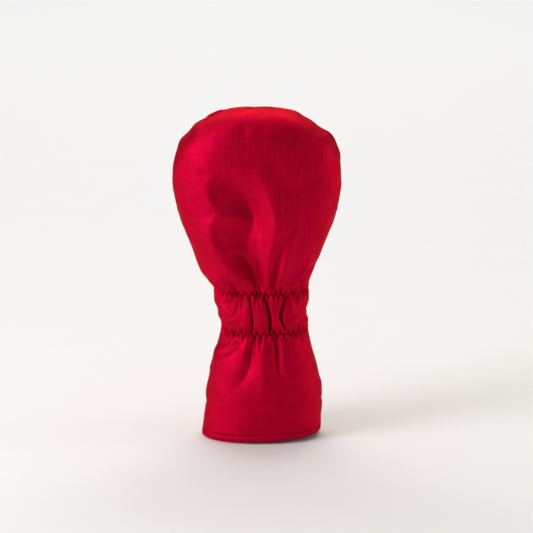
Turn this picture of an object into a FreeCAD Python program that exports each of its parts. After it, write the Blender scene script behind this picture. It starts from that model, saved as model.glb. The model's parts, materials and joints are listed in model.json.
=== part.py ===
"""A child's thumbless flip-top mitten: a lined pouch, an elasticated wrist and a flared gauntlet.

Millimetres, +Z up towards the fingertips, origin on the surface the hem stands on, at the middle of
the gauntlet's mouth. The back of the hand (dorsal side) faces -Y and the palm faces +Y. The fingertip
hood folds back over the dorsal side about a line along X across the widest part of the pouch, and its
palm side overlaps the palm panel.
"""

import FreeCAD, Part

import math
import os

import Sketcher

doc = FreeCAD.newDocument("flip_top_mitten")

# ---------------------------------------------------------------- driving dimensions
SIZES = [
    # outline of the outside: a height, half the width along X and half the depth along Y
    ("hem_level", 0.0), ("hem_half_width", 33.0), ("hem_half_depth", 23.0),
    ("flare_level", 24.0), ("flare_half_width", 32.8), ("flare_half_depth", 22.6),
    ("taper_level", 46.0), ("taper_half_width", 29.0), ("taper_half_depth", 20.2),
    ("lower_row_level", 62.5), ("lower_row_half_width", 24.6), ("lower_row_half_depth", 17.8),
    ("wrist_level", 74.0), ("wrist_half_width", 26.2), ("wrist_half_depth", 19.2),
    ("upper_row_level", 85.7), ("upper_row_half_width", 26.0), ("upper_row_half_depth", 18.8),
    ("heel_level", 97.0), ("heel_half_width", 32.6), ("heel_half_depth", 21.2),
    ("palm_level", 117.0), ("palm_half_width", 41.0), ("palm_half_depth", 23.8),
    ("knuckle_level", 134.0), ("knuckle_half_width", 45.9), ("knuckle_half_depth", 24.8),
    ("fold_level", 148.0), ("fold_half_width", 47.5), ("fold_half_depth", 25.0),
    ("dome_height", 42.7),
    # layers, outside to inside
    ("shell_cloth", 0.8), ("layer_gap", 0.2), ("insulation_loft", 1.6), ("lining_pile", 1.8),
    ("cuff_lining_cloth", 0.8), ("elastic_cloth", 1.2), ("elastic_wide", 6.0),
    # seams and gaps
    ("seam_gap", 0.15), ("zone_gap", 0.15), ("allowance_half_wide", 2.4), ("allowance_gap", 0.4),
    # palm opening and the hood's overlap
    ("overlap", 20.0), ("palm_step_start", 112.0), ("palm_step_end", 126.0), ("overlap_clearance", 1.8),
    ("binding_wide", 2.0), ("binding_proud", 0.3), ("hood_elastic_wide", 1.0), ("hood_elastic_cloth", 1.0),
    # hem, its topstitching and the care label
    ("hem_turn", 4.4), ("hem_cloth", 1.8), ("stitch_pitch", 2.1), ("stitch_length", 1.5),
    ("thread_wide", 0.35), ("stitch_sunk", 0.05), ("stitch_proud", 0.18),
    ("label_wide", 12.0), ("label_long", 22.0), ("label_cloth", 0.5), ("label_low", 10.0),
    ("label_round", 1.0), ("label_clearance", 3.4),
    ("tack_long", 6.0), ("tack_wide", 1.2), ("tack_cloth", 0.45), ("tack_gap", 0.1),
    ("beyond", 5.0),
]

sheet = doc.addObject("Spreadsheet::Sheet", "sizes")
for row, (alias, value) in enumerate(SIZES, start=1):
    sheet.set(f"A{row}", alias)
    sheet.set(f"B{row}", str(value))
    sheet.setAlias(f"B{row}", alias)
doc.recompute()


def size(alias):
    """A driving dimension as the sheet holds it."""
    return float(sheet.get(alias))


def cell(*terms):
    """An expression that adds spreadsheet cells, such as cell("shell_cloth", "layer_gap")."""
    return " + ".join(f"sizes.{term}" for term in terms)


# How deep each layer's two faces lie under the outside.
SHELL_INNER = cell("shell_cloth")
MIDDLE_OUTER = cell("shell_cloth", "layer_gap")
MIDDLE_INNER = cell("shell_cloth", "layer_gap", "insulation_loft")
LINING_OUTER = cell("shell_cloth", "layer_gap", "insulation_loft", "layer_gap")
LINING_INNER = cell("shell_cloth", "layer_gap", "insulation_loft", "layer_gap", "lining_pile")
ELASTIC_INNER = cell("shell_cloth", "layer_gap", "elastic_cloth")
WRIST_LINING_OUTER = cell("shell_cloth", "layer_gap", "elastic_cloth", "layer_gap")
WRIST_LINING_INNER = cell("shell_cloth", "layer_gap", "elastic_cloth", "layer_gap", "cuff_lining_cloth")
CUFF_LINING_OUTER = cell("shell_cloth", "layer_gap")
CUFF_LINING_INNER = cell("shell_cloth", "layer_gap", "cuff_lining_cloth")
PALM_STEP = f"{LINING_INNER} + sizes.overlap_clearance"

OUTLINE = ["hem", "flare", "taper", "lower_row", "wrist", "upper_row", "heel", "palm", "knuckle", "fold"]


# ---------------------------------------------------------------- building blocks
def ring(name, level, half_width, half_depth):
    """A horizontal ellipse about the Z axis, all three sizes given as expressions."""
    ellipse = doc.addObject("Part::Ellipse", name)
    ellipse.setExpression("MajorRadius", half_width)
    ellipse.setExpression("MinorRadius", half_depth)
    ellipse.setExpression("Placement.Base.z", level)
    return ellipse


def loft(name, rings):
    """A closed solid through a stack of ellipses, straight from each to the next."""
    made = doc.addObject("Part::Loft", name)
    made.Sections = rings
    made.Solid = True
    made.Ruled = True
    return made


def outline_body(name, inset):
    """The whole outside from hem to fold line, moved in by inset."""
    rings = []
    for place in OUTLINE:
        rings.append(ring(f"{name}_{place}", f"sizes.{place}_level",
                          f"sizes.{place}_half_width - ({inset})", f"sizes.{place}_half_depth - ({inset})"))
    return loft(name, rings)


def between(level, low, high):
    """Half the width and half the depth at a height between two places of the outline."""
    share = f"(({level} - sizes.{low}_level) / (sizes.{high}_level - sizes.{low}_level))"
    return [f"(sizes.{low}_half_{way} + (sizes.{high}_half_{way} - sizes.{low}_half_{way}) * {share})"
            for way in ("width", "depth")]


def palm_body(name, inset):
    """As outline_body from the upper elastic up, but stepped in where the hood overlaps the palm."""
    rings = []
    for place in ("upper_row", "heel"):
        rings.append(ring(f"{name}_{place}", f"sizes.{place}_level",
                          f"sizes.{place}_half_width - ({inset})", f"sizes.{place}_half_depth - ({inset})"))
    wide, deep = between("sizes.palm_step_start", "heel", "palm")
    rings.append(ring(f"{name}_step_start", "sizes.palm_step_start",
                      f"{wide} - ({inset})", f"{deep} - ({inset})"))
    wide, deep = between("sizes.palm_step_end", "palm", "knuckle")
    rings.append(ring(f"{name}_step_end", "sizes.palm_step_end",
                      f"{wide} - ({PALM_STEP}) - ({inset})", f"{deep} - ({PALM_STEP}) - ({inset})"))
    for place in ("knuckle", "fold"):
        rings.append(ring(f"{name}_{place}", f"sizes.{place}_level",
                          f"sizes.{place}_half_width - ({PALM_STEP}) - ({inset})",
                          f"sizes.{place}_half_depth - ({PALM_STEP}) - ({inset})"))
    return loft(name, rings)


def dome(name, inset):
    """The fingertip end, an ellipsoid about the middle of the fold level, moved in by inset."""
    made = doc.addObject("Part::Ellipsoid", name)
    made.setExpression("Radius1", f"sizes.dome_height - ({inset})")
    made.setExpression("Radius2", f"sizes.fold_half_width - ({inset})")
    made.setExpression("Radius3", f"sizes.fold_half_depth - ({inset})")
    made.setExpression("Placement.Base.z", "sizes.fold_level")
    made.Angle1 = -90
    made.Angle2 = 90
    made.Angle3 = 360
    return made


DEEP = "(sizes.fold_half_depth + sizes.beyond)"
WIDE = "(sizes.fold_half_width + sizes.beyond)"


def slab(name, low, high, near=f"-{DEEP}", far=DEEP, left=f"-{WIDE}", right=WIDE):
    """A box between two heights, two planes across Y and two across X, all given as expressions."""
    box = doc.addObject("Part::Box", name)
    box.setExpression("Length", f"({right}) - ({left})")
    box.setExpression("Width", f"({far}) - ({near})")
    box.setExpression("Height", f"({high}) - ({low})")
    box.setExpression("Placement.Base.x", left)
    box.setExpression("Placement.Base.y", near)
    box.setExpression("Placement.Base.z", low)
    return box


def cut(name, base, tool):
    made = doc.addObject("Part::Cut", name)
    made.Base, made.Tool = base, tool
    return made


def common(name, base, tool):
    made = doc.addObject("Part::Common", name)
    made.Base, made.Tool = base, tool
    return made


def fuse(name, base, tool):
    made = doc.addObject("Part::Fuse", name)
    made.Base, made.Tool = base, tool
    made.Refine = True
    return made


shared = {}


def shared_body(kind, inset):
    """The lofted or domed body of one kind and inset, made once for every layer that meets it."""
    if (kind, inset) not in shared:
        maker = {"outline": outline_body, "palm": palm_body, "dome": dome}[kind]
        shared[kind, inset] = maker(f"{kind}_{len(shared)}", inset)
    return shared[kind, inset]


def wall(name, kind, outer, inner):
    """The hollow layer between two insets, closed at neither end until a slab trims it."""
    key = ("wall", kind, outer, inner)
    if key not in shared:
        shared[key] = cut(f"{name}_wall", shared_body(kind, outer), shared_body(kind, inner))
    return shared[key]


parts = {}


def keep(label, made):
    """Names a finished sub-part; its Label is also its file's name."""
    made.Label = label
    parts[label] = made
    return made


DORSAL = {"far": "-sizes.seam_gap"}
PALM = {"near": "sizes.seam_gap"}


def layer(label, kind, outer, inner, low, high, **planes):
    """A sub-part that is a stretch of one layer."""
    return keep(label, common(f"{label}_piece", wall(label, kind, outer, inner),
                              slab(f"{label}_slab", low, high, **planes)))


# ---------------------------------------------------------------- gauntlet
HEM_TOP = "sizes.hem_turn"
ROW_LOW = "sizes.lower_row_level"
ROW_HIGH = "sizes.upper_row_level"
FOLD = "sizes.fold_level"
GAP = "sizes.zone_gap"

HEM_INNER = cell("hem_cloth")
for side, planes in (("dorsal", DORSAL), ("palm", PALM)):
    layer(f"{side}_gauntlet_hem", "outline", "0", HEM_INNER,
          "sizes.hem_level", f"{HEM_TOP} - {GAP}", **planes)
    layer(f"{side}_gauntlet_shell", "outline", "0", SHELL_INNER, HEM_TOP, f"{ROW_LOW} - {GAP}", **planes)
    layer(f"{side}_gauntlet_lining", "outline", CUFF_LINING_OUTER, CUFF_LINING_INNER,
          HEM_TOP, f"{ROW_LOW} - sizes.elastic_wide / 2 - {GAP}", **planes)

# ---------------------------------------------------------------- wrist
for side, planes in (("dorsal", DORSAL), ("palm", PALM)):
    layer(f"{side}_wrist_shell", "outline", "0", SHELL_INNER, ROW_LOW, f"{ROW_HIGH} - {GAP}", **planes)
    layer(f"{side}_wrist_lining", "outline", WRIST_LINING_OUTER, WRIST_LINING_INNER,
          f"{ROW_LOW} - sizes.elastic_wide / 2", f"{ROW_HIGH} + sizes.elastic_wide / 2", **planes)
for row, level in (("lower", ROW_LOW), ("upper", ROW_HIGH)):
    layer(f"{row}_wrist_elastic", "outline", MIDDLE_OUTER, ELASTIC_INNER,
          f"{level} - sizes.elastic_wide / 2", f"{level} + sizes.elastic_wide / 2")

# ---------------------------------------------------------------- hand
PADDING_LOW = f"{ROW_HIGH} + sizes.elastic_wide / 2 + {GAP}"
ALLOWANCE_CLEAR = "(sizes.allowance_half_wide + sizes.allowance_gap)"
layer("dorsal_hand_shell", "outline", "0", SHELL_INNER, ROW_HIGH, f"{FOLD} - {GAP}", **DORSAL)
layer("dorsal_hand_insulation", "outline", MIDDLE_OUTER, MIDDLE_INNER, PADDING_LOW, f"{FOLD} - {GAP}",
      far=f"-{ALLOWANCE_CLEAR}")
layer("dorsal_hand_lining", "outline", LINING_OUTER, LINING_INNER, PADDING_LOW, f"{FOLD} - {GAP}",
      **DORSAL)
OPENING_EDGE = f"{FOLD} - sizes.binding_wide"
layer("palm_hand_shell", "palm", "0", SHELL_INNER, ROW_HIGH, f"{OPENING_EDGE} - {GAP}", **PALM)
layer("palm_hand_insulation", "palm", MIDDLE_OUTER, MIDDLE_INNER, PADDING_LOW, f"{OPENING_EDGE} - {GAP}",
      near=ALLOWANCE_CLEAR)
layer("palm_hand_lining", "palm", LINING_OUTER, LINING_INNER, PADDING_LOW, f"{OPENING_EDGE} - {GAP}",
      **PALM)
layer("palm_opening_binding", "palm", "-sizes.binding_proud", f"{LINING_INNER} + sizes.binding_proud",
      OPENING_EDGE, f"{FOLD} - {GAP}", **PALM)
layer("opening_bartacks", "outline", "-sizes.tack_cloth - sizes.tack_gap", "-sizes.tack_gap",
      f"{FOLD} - 2 * sizes.binding_wide - sizes.tack_long", f"{FOLD} - 2 * sizes.binding_wide",
      near="-sizes.allowance_half_wide - sizes.tack_wide", far="-sizes.allowance_half_wide")

# The seam allowances inside the two side seams stop where the palm panel starts to step in.
for side, planes in (("left", {"right": "0"}), ("right", {"left": "0"})):
    layer(f"{side}_side_seam", "outline", MIDDLE_OUTER, MIDDLE_INNER, PADDING_LOW, "sizes.palm_step_start",
          near="-sizes.allowance_half_wide", far="sizes.allowance_half_wide", **planes)

# ---------------------------------------------------------------- hood
HOOD_HEM = f"({FOLD} - sizes.overlap)"
HOOD_LOW = f"{FOLD} + {GAP}"
TOP = f"{FOLD} + sizes.dome_height + sizes.beyond"


def hood_palm_layer(label, outer, inner, near, low):
    """Half a dome on top of the half tube that overlaps the palm panel."""
    skirt = common(f"{label}_skirt", wall(label, "outline", outer, inner),
                   slab(f"{label}_skirt_slab", low, FOLD, near=near))
    cap = common(f"{label}_cap", wall(label, "dome", outer, inner),
                 slab(f"{label}_cap_slab", FOLD, TOP, near=near))
    return keep(label, fuse(f"{label}_piece", skirt, cap))


HOOD_BOUND = f"{HOOD_HEM} + sizes.binding_wide"
layer("hood_dorsal_shell", "dome", "0", SHELL_INNER, HOOD_LOW, TOP, **DORSAL)
layer("hood_dorsal_insulation", "dome", MIDDLE_OUTER, MIDDLE_INNER, HOOD_LOW, TOP,
      far=f"-{ALLOWANCE_CLEAR}")
layer("hood_dorsal_lining", "dome", LINING_OUTER, LINING_INNER, HOOD_LOW, TOP, **DORSAL)
layer("hood_rim_seam", "dome", MIDDLE_OUTER, MIDDLE_INNER, HOOD_LOW, TOP,
      near="-sizes.allowance_half_wide", far="sizes.allowance_half_wide")
hood_palm_layer("hood_palm_shell", "0", SHELL_INNER, "sizes.seam_gap", f"{HOOD_BOUND} + {GAP}")
hood_palm_layer("hood_palm_insulation", MIDDLE_OUTER, MIDDLE_INNER, ALLOWANCE_CLEAR,
                f"{HOOD_BOUND} + {GAP}")
hood_palm_layer("hood_palm_lining", LINING_OUTER, LINING_INNER, "sizes.seam_gap", f"{HOOD_BOUND} + {GAP}")

# The binding folds round the hood's palm edge, and a thin elastic cord runs inside it.
CORD_DEEP = f"(({LINING_INNER}) / 2 - sizes.hood_elastic_cloth / 2)"
CORD_LOW = f"({HOOD_HEM} + sizes.binding_wide / 2 - sizes.hood_elastic_wide / 2)"
CORD_HIGH = f"({HOOD_HEM} + sizes.binding_wide / 2 + sizes.hood_elastic_wide / 2)"
layer("hood_edge_elastic", "outline", CORD_DEEP, f"{CORD_DEEP} + sizes.hood_elastic_cloth",
      CORD_LOW, CORD_HIGH, near="3 * sizes.seam_gap")
solid_binding = common("hood_edge_solid", wall("hood_edge", "outline", "0", LINING_INNER),
                       slab("hood_edge_slab", HOOD_HEM, HOOD_BOUND, near="3 * sizes.seam_gap"))
channel = common("hood_edge_channel",
                 wall("hood_edge_channel", "outline", f"{CORD_DEEP} - sizes.seam_gap",
                      f"{CORD_DEEP} + sizes.hood_elastic_cloth + sizes.seam_gap"),
                 slab("hood_edge_channel_slab", f"{CORD_LOW} - sizes.seam_gap",
                      f"{CORD_HIGH} + sizes.seam_gap"))
keep("hood_edge_binding", cut("hood_edge_binding_piece", solid_binding, channel))


# ---------------------------------------------------------------- topstitching on the hem
def hem_outline_point(turn):
    """The hem's outside at an angle about Z, with the outward direction there."""
    wide, deep = size("hem_half_width"), size("hem_half_depth")
    point = FreeCAD.Vector(wide * math.cos(turn), deep * math.sin(turn), 0)
    outward = FreeCAD.Vector(math.cos(turn) / wide, math.sin(turn) / deep, 0)
    return point, outward.normalize()


def hem_perimeter():
    """Ramanujan's length of the hem's ellipse."""
    wide, deep = size("hem_half_width"), size("hem_half_depth")
    return math.pi * (3 * (wide + deep) - math.sqrt((3 * wide + deep) * (wide + 3 * deep)))


def stitch_turns():
    """The angles of evenly spaced stitches round the hem, found by walking its ellipse."""
    count = int(hem_perimeter() / size("stitch_pitch"))
    steps_per_stitch = 200
    turns, turn = [], 0.0
    for step in range(count * steps_per_stitch):
        if step % steps_per_stitch == 0:
            turns.append(turn)
        speed = math.hypot(size("hem_half_width") * math.sin(turn),
                           size("hem_half_depth") * math.cos(turn))
        turn += hem_perimeter() / (count * steps_per_stitch) / speed
    return turns


def hem_topstitch_shape():
    """One small bar of thread for each stitch, standing just outside the hem."""
    level = size("hem_turn") - 3 * size("thread_wide")
    bars = []
    for turn in stitch_turns():
        point, outward = hem_outline_point(turn)
        bar = Part.makeBox(size("stitch_length"), size("stitch_proud"), size("thread_wide"),
                           FreeCAD.Vector(-size("stitch_length") / 2, size("stitch_sunk"), 0))
        bar.rotate(FreeCAD.Vector(0, 0, 0), FreeCAD.Vector(0, 0, 1),
                   math.degrees(math.atan2(outward.y, outward.x)) - 90)
        bar.translate(FreeCAD.Vector(point.x, point.y, level))
        bars.append(bar)
    return Part.makeCompound(bars)


topstitch = doc.addObject("Part::Feature", "hem_topstitch_piece")
topstitch.Shape = hem_topstitch_shape()
topstitch.Placement = FreeCAD.Placement()
keep("hem_topstitch", topstitch)


# ---------------------------------------------------------------- sewn-on pieces made by sketch and pad
def plane_of(body, role):
    return next(feature for feature in body.Origin.OriginFeatures if feature.Role == role)


def padded_rectangle(label, wide, long, thick, round_by):
    """A body with one upright rectangle, centred on X and standing on Z = 0, padded along Y."""
    body = doc.addObject("PartDesign::Body", f"{label}_body")
    sketch = body.newObject("Sketcher::SketchObject", f"{label}_sketch")
    sketch.AttachmentSupport = [(plane_of(body, "XZ_Plane"), "")]
    sketch.MapMode = "FlatFace"
    corners = [FreeCAD.Vector(-1, 0, 0), FreeCAD.Vector(1, 0, 0),
               FreeCAD.Vector(1, 2, 0), FreeCAD.Vector(-1, 2, 0)]
    for number in range(4):
        sketch.addGeometry(Part.LineSegment(corners[number], corners[(number + 1) % 4]), False)
    for number in range(4):
        sketch.addConstraint(Sketcher.Constraint("Coincident", number, 2, (number + 1) % 4, 1))
    for number, kind in ((0, "Horizontal"), (1, "Vertical"), (2, "Horizontal"), (3, "Vertical")):
        sketch.addConstraint(Sketcher.Constraint(kind, number))
    sketch.addConstraint(Sketcher.Constraint("Symmetric", 0, 1, 0, 2, -1, 1))
    across = sketch.addConstraint(Sketcher.Constraint("DistanceX", 0, 1, 0, 2, 2.0))
    upward = sketch.addConstraint(Sketcher.Constraint("DistanceY", 1, 1, 1, 2, 2.0))
    sketch.setExpression(f"Constraints[{across}]", wide)
    sketch.setExpression(f"Constraints[{upward}]", long)
    pad = body.newObject("PartDesign::Pad", f"{label}_pad")
    pad.Profile = sketch
    pad.setExpression("Length", thick)
    doc.recompute()
    upright = [f"Edge{number}" for number, edge in enumerate(pad.Shape.Edges, start=1)
               if abs(edge.tangentAt(edge.FirstParameter).y) > 0.99]
    rounding = body.newObject("PartDesign::Fillet", f"{label}_fillet")
    rounding.Base = (pad, upright)
    rounding.setExpression("Radius", round_by)
    body.Tip = rounding
    return keep(label, body)


# The blank care label hangs flat inside the gauntlet, beside the lining at its left end.
label_body = padded_rectangle("care_label", "sizes.label_wide", "sizes.label_long", "sizes.label_cloth",
                              "sizes.label_round")
label_body.setExpression("Placement.Base.x",
                         f"-(sizes.flare_half_width - ({CUFF_LINING_INNER}) - sizes.label_clearance)")
label_body.setExpression("Placement.Base.z", "sizes.label_low")
label_body.Placement.Rotation = FreeCAD.Rotation(FreeCAD.Vector(0, 0, 1), 90)

doc.recompute()

# ---------------------------------------------------------------- checks and files
faults = []
for thing in doc.Objects:
    if "Invalid" in thing.State or "Error" in thing.State:
        faults.append(f"{thing.Label} failed")
for label, made in parts.items():
    if made.Shape.isNull() or not made.Shape.isValid() or not made.Shape.Solids:
        faults.append(f"{label} has no valid solid")
if faults:
    raise SystemExit("\n".join(faults))

os.makedirs("parts", exist_ok=True)
for label, made in sorted(parts.items()):
    made.Shape.exportStep(f"parts/{label}.step")
    print(f"{label:26s} {len(made.Shape.Solids):3d} solids {made.Shape.Volume:9.1f} mm3")
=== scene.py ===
import json
import math

import bmesh
import bpy
import numpy as np
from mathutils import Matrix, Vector

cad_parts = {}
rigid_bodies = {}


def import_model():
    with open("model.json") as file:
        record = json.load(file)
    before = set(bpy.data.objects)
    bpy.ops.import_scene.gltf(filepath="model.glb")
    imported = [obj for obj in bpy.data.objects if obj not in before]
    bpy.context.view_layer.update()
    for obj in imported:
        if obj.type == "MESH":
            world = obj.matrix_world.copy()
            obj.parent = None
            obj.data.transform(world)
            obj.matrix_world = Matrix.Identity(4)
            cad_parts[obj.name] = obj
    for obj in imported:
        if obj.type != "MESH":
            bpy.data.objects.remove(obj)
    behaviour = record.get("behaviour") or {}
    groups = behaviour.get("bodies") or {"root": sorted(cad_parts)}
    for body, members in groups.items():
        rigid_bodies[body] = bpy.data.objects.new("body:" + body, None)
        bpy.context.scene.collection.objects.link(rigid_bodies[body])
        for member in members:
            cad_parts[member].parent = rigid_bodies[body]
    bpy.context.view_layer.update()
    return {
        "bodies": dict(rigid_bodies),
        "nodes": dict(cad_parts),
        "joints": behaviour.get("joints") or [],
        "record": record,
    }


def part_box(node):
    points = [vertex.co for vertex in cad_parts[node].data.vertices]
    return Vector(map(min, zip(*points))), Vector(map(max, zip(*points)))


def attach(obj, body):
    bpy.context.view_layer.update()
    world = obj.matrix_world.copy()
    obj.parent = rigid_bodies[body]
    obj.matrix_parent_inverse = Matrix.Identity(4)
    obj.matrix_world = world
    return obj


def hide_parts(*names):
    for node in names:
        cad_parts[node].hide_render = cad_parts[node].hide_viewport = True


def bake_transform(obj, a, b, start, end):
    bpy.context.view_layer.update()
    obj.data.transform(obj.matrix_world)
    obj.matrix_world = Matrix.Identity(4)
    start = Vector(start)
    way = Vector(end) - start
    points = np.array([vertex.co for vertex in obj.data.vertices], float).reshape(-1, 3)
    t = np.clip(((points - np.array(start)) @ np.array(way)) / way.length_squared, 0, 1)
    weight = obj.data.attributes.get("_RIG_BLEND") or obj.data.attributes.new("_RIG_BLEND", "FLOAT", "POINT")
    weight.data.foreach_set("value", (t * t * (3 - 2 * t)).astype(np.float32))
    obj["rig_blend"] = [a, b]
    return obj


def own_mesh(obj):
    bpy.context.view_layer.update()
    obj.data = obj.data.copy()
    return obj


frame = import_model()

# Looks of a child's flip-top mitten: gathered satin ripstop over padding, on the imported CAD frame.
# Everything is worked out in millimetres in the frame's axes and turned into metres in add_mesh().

MM = 0.001
SEED = 11


# ---------------- sizes read from the frame
def node_box(node):
    """A CAD node's lowest and highest corners at rest, in mm."""
    low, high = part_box(node)
    return np.array(low) / MM, np.array(high) / MM


CROWN_DROP = 1.7
FOLD = (node_box("dorsal_hand_shell")[1][2] + node_box("hood_dorsal_shell")[0][2]) / 2
CROWN = node_box("hood_dorsal_shell")[1][2] - CROWN_DROP
UPPER_ROW = sum(node_box("upper_wrist_elastic"))[2] / 2
LOWER_ROW = sum(node_box("lower_wrist_elastic"))[2] / 2
HOOD_EDGE = node_box("hood_edge_binding")[0][2]
HEM_WIDE = node_box("dorsal_gauntlet_hem")[1][0]
HEM_DEEP = -node_box("dorsal_gauntlet_hem")[0][1]
FOLD_WIDE = node_box("dorsal_hand_shell")[1][0]
FOLD_DEEP = -node_box("dorsal_hand_shell")[0][1]
ROW_WIDE = node_box("dorsal_wrist_shell")[1][0]


# ---------------- small curves
def eased(share):
    """A smooth step from 0 to 1."""
    return share ** 2 * (3 - 2 * share)


def ramp(value, start, end):
    """0 before the start and 1 past the end."""
    return np.clip((value - start) / (end - start), 0, 1)


def bell(away, wide, power=2):
    """1 in the middle, falling to nothing past a width."""
    return np.exp(-(np.abs(away) / wide) ** power)


def unit(vectors):
    """The same directions, each one long."""
    return vectors / np.maximum(np.linalg.norm(vectors, axis=-1, keepdims=True), 1e-9)


def lengths(points):
    """How far along a line each of its points is."""
    return np.concatenate([[0], np.cumsum(np.linalg.norm(np.diff(points, axis=0), axis=1))])


# ---------------- outline of the outside
def smooth_through(places, values):
    """A curve through the given places that doesn't overshoot between them and ends level."""
    places, values = np.array(places, float), np.array(values, float)
    step = np.diff(places)
    slope = np.diff(values) / step
    tangent = np.zeros_like(values)
    tangent[0] = slope[0]
    same_way = slope[:-1] * slope[1:] > 0
    mean = 2 * slope[:-1] * slope[1:] / np.where(same_way, slope[:-1] + slope[1:], 1)
    tangent[1:-1] = np.where(same_way, mean, 0)

    def curve(at):
        at = np.clip(at, places[0], places[-1])
        k = np.clip(np.searchsorted(places, at, side="right") - 1, 0, len(step) - 1)
        share = (at - places[k]) / step[k]
        rest = 1 - share
        return ((1 + 2 * share) * rest ** 2 * values[k] + share * rest ** 2 * step[k] * tangent[k]
                + eased(share) * values[k + 1] - share ** 2 * rest * step[k] * tangent[k + 1])
    return curve


# level, half width, half depth at the back of the hand, half depth at the palm, lean to +X
OUTLINE = (
    (0, HEM_WIDE + 0.9, HEM_DEEP, HEM_DEEP, 0.1),
    (8, HEM_WIDE + 0.7, HEM_DEEP, HEM_DEEP, 0.7),
    (22, HEM_WIDE + 0.5, HEM_DEEP - 0.3, HEM_DEEP - 0.3, 1.7),
    (36, HEM_WIDE - 1.6, HEM_DEEP - 0.9, HEM_DEEP - 0.9, 1.7),
    (48, HEM_WIDE - 4.4, HEM_DEEP - 2.4, HEM_DEEP - 2.4, 1.4),
    (56, ROW_WIDE - 0.4, HEM_DEEP - 4.2, HEM_DEEP - 4.2, 1.8),
    (LOWER_ROW, ROW_WIDE - 2.2, HEM_DEEP - 5.6, HEM_DEEP - 5.6, 2),
    (68, ROW_WIDE - 1.7, HEM_DEEP - 4.6, HEM_DEEP - 4.6, 1.2),
    (76, ROW_WIDE - 0.1, HEM_DEEP - 3.9, HEM_DEEP - 3.9, 0.4),
    (UPPER_ROW, ROW_WIDE - 0.1, HEM_DEEP - 4.4, HEM_DEEP - 4.4, 0.2),
    (91, ROW_WIDE + 2.6, HEM_DEEP - 2.9, HEM_DEEP - 3.1, -1.3),
    (97, FOLD_WIDE - 15.2, FOLD_DEEP - 3.4, FOLD_DEEP - 3.6, -1.9),
    (110, FOLD_WIDE - 10, FOLD_DEEP - 2.3, FOLD_DEEP - 1.6, -2),
    (124, FOLD_WIDE - 4.8, FOLD_DEEP - 1.6, FOLD_DEEP - 0.6, -2),
    (137, FOLD_WIDE - 1.6, FOLD_DEEP - 1.2, FOLD_DEEP, -2.1),
    (FOLD, FOLD_WIDE - 0.2, FOLD_DEEP - 1, FOLD_DEEP, -2.2),
)
LEVELS, *CURVES = zip(*OUTLINE)
half_width, front_depth, back_depth, lean = (smooth_through(LEVELS, values) for values in CURVES)
# How square the section is: 2 is an ellipse.
squareness = smooth_through([0, LOWER_ROW, UPPER_ROW, 110, FOLD], [2.15, 2.1, 2.1, 2.3, 2.5])
SECTION_STEPS = 241
CROWN_SQUARENESS = 2.3
FRONT_TOP_POWER = 4.4
PALM_TOP_POWER = 2.0


def quarter_section(wide, deep, power, shares):
    """Places across, depths and lengths along a quarter of a section, at shares from the middle."""
    turn = np.linspace(0, math.pi / 2, SECTION_STEPS)
    across = wide * np.sin(turn) ** (2 / power)
    back = deep * np.cos(turn) ** (2 / power)
    length = lengths(np.stack([across, back], axis=1))
    at = np.abs(shares) * length[-1]
    return np.interp(at, length, across), np.interp(at, length, back), at


def tube_rows(levels, shares, depth, facing):
    """Base points and lengths round from the middle for rows of one half of the tube."""
    points = np.zeros((len(levels), len(shares), 3))
    around = np.zeros((len(levels), len(shares)))
    for row, level in enumerate(levels):
        across, back, at = quarter_section(half_width(level), depth(level), squareness(level), shares)
        points[row, :, 0] = lean(level) + np.sign(shares) * across
        points[row, :, 1] = facing * back
        points[row, :, 2] = level
        around[row] = np.sign(shares) * at
    return points, around


def crown_rows(rises, shares, depth, facing, top_power):
    """The rounded fingertip end of one half, from the fold up to the rim.

    Gives base points, outward normals, the cloth's flat coordinates and the distance to the rim. The
    section changes from the fold's squareness to top_power at the top.
    """
    rise, share = np.meshgrid(rises, shares, indexing="ij")
    right = share * np.sqrt(1 - rise ** 2 / 2)
    up = rise * np.sqrt(1 - share ** 2 / 2)
    out = np.minimum(np.hypot(right, up), 1)
    safe = np.maximum(out, 1e-9)
    right, up = right / safe, up / safe
    wide, high, deep = half_width(FOLD), CROWN - FOLD, depth(FOLD)
    turned = up ** 2
    power = squareness(FOLD) * (1 - turned) + top_power * turned
    low = quarter_section(wide, deep, squareness(FOLD), out.ravel())
    top = quarter_section(wide, deep, top_power, out.ravel())
    across, back, at = (one.reshape(out.shape) * (1 - turned) + other.reshape(out.shape) * turned
                        for one, other in zip(low, top))
    reach = np.abs(right) ** CROWN_SQUARENESS + np.abs(up) ** CROWN_SQUARENESS
    reach = np.where(out > 0, reach, 1) ** (-1 / CROWN_SQUARENESS)
    x, z = right * across * reach, up * across / wide * high * reach
    points = np.stack([lean(FOLD) + x, facing * back, FOLD + z], axis=2)
    spread = np.maximum(across / wide, 1e-6) ** (power - CROWN_SQUARENESS)
    normal = np.stack([spread * np.sign(x) * np.abs(x / wide) ** (CROWN_SQUARENESS - 1) / wide,
                       facing * np.abs(back / deep) ** (power - 1) / deep,
                       spread * np.abs(z / high) ** (CROWN_SQUARENESS - 1) / high], axis=2)
    flat = np.stack([right * at, FOLD + up * at * high / wide], axis=2)
    whole = low[2].max() * (1 - turned) + top[2].max() * turned
    return points, unit(normal), flat, whole - at


def normals_of(points, facing):
    """Unit normals of a grid of points, pointing out of the mitten."""
    return unit(np.cross(np.gradient(points, axis=1), np.gradient(points, axis=0)) * -facing)


# ---------------- folds
FOLD_REACH = 3.2
NARROWEST_FOLD = 0.3


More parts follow.
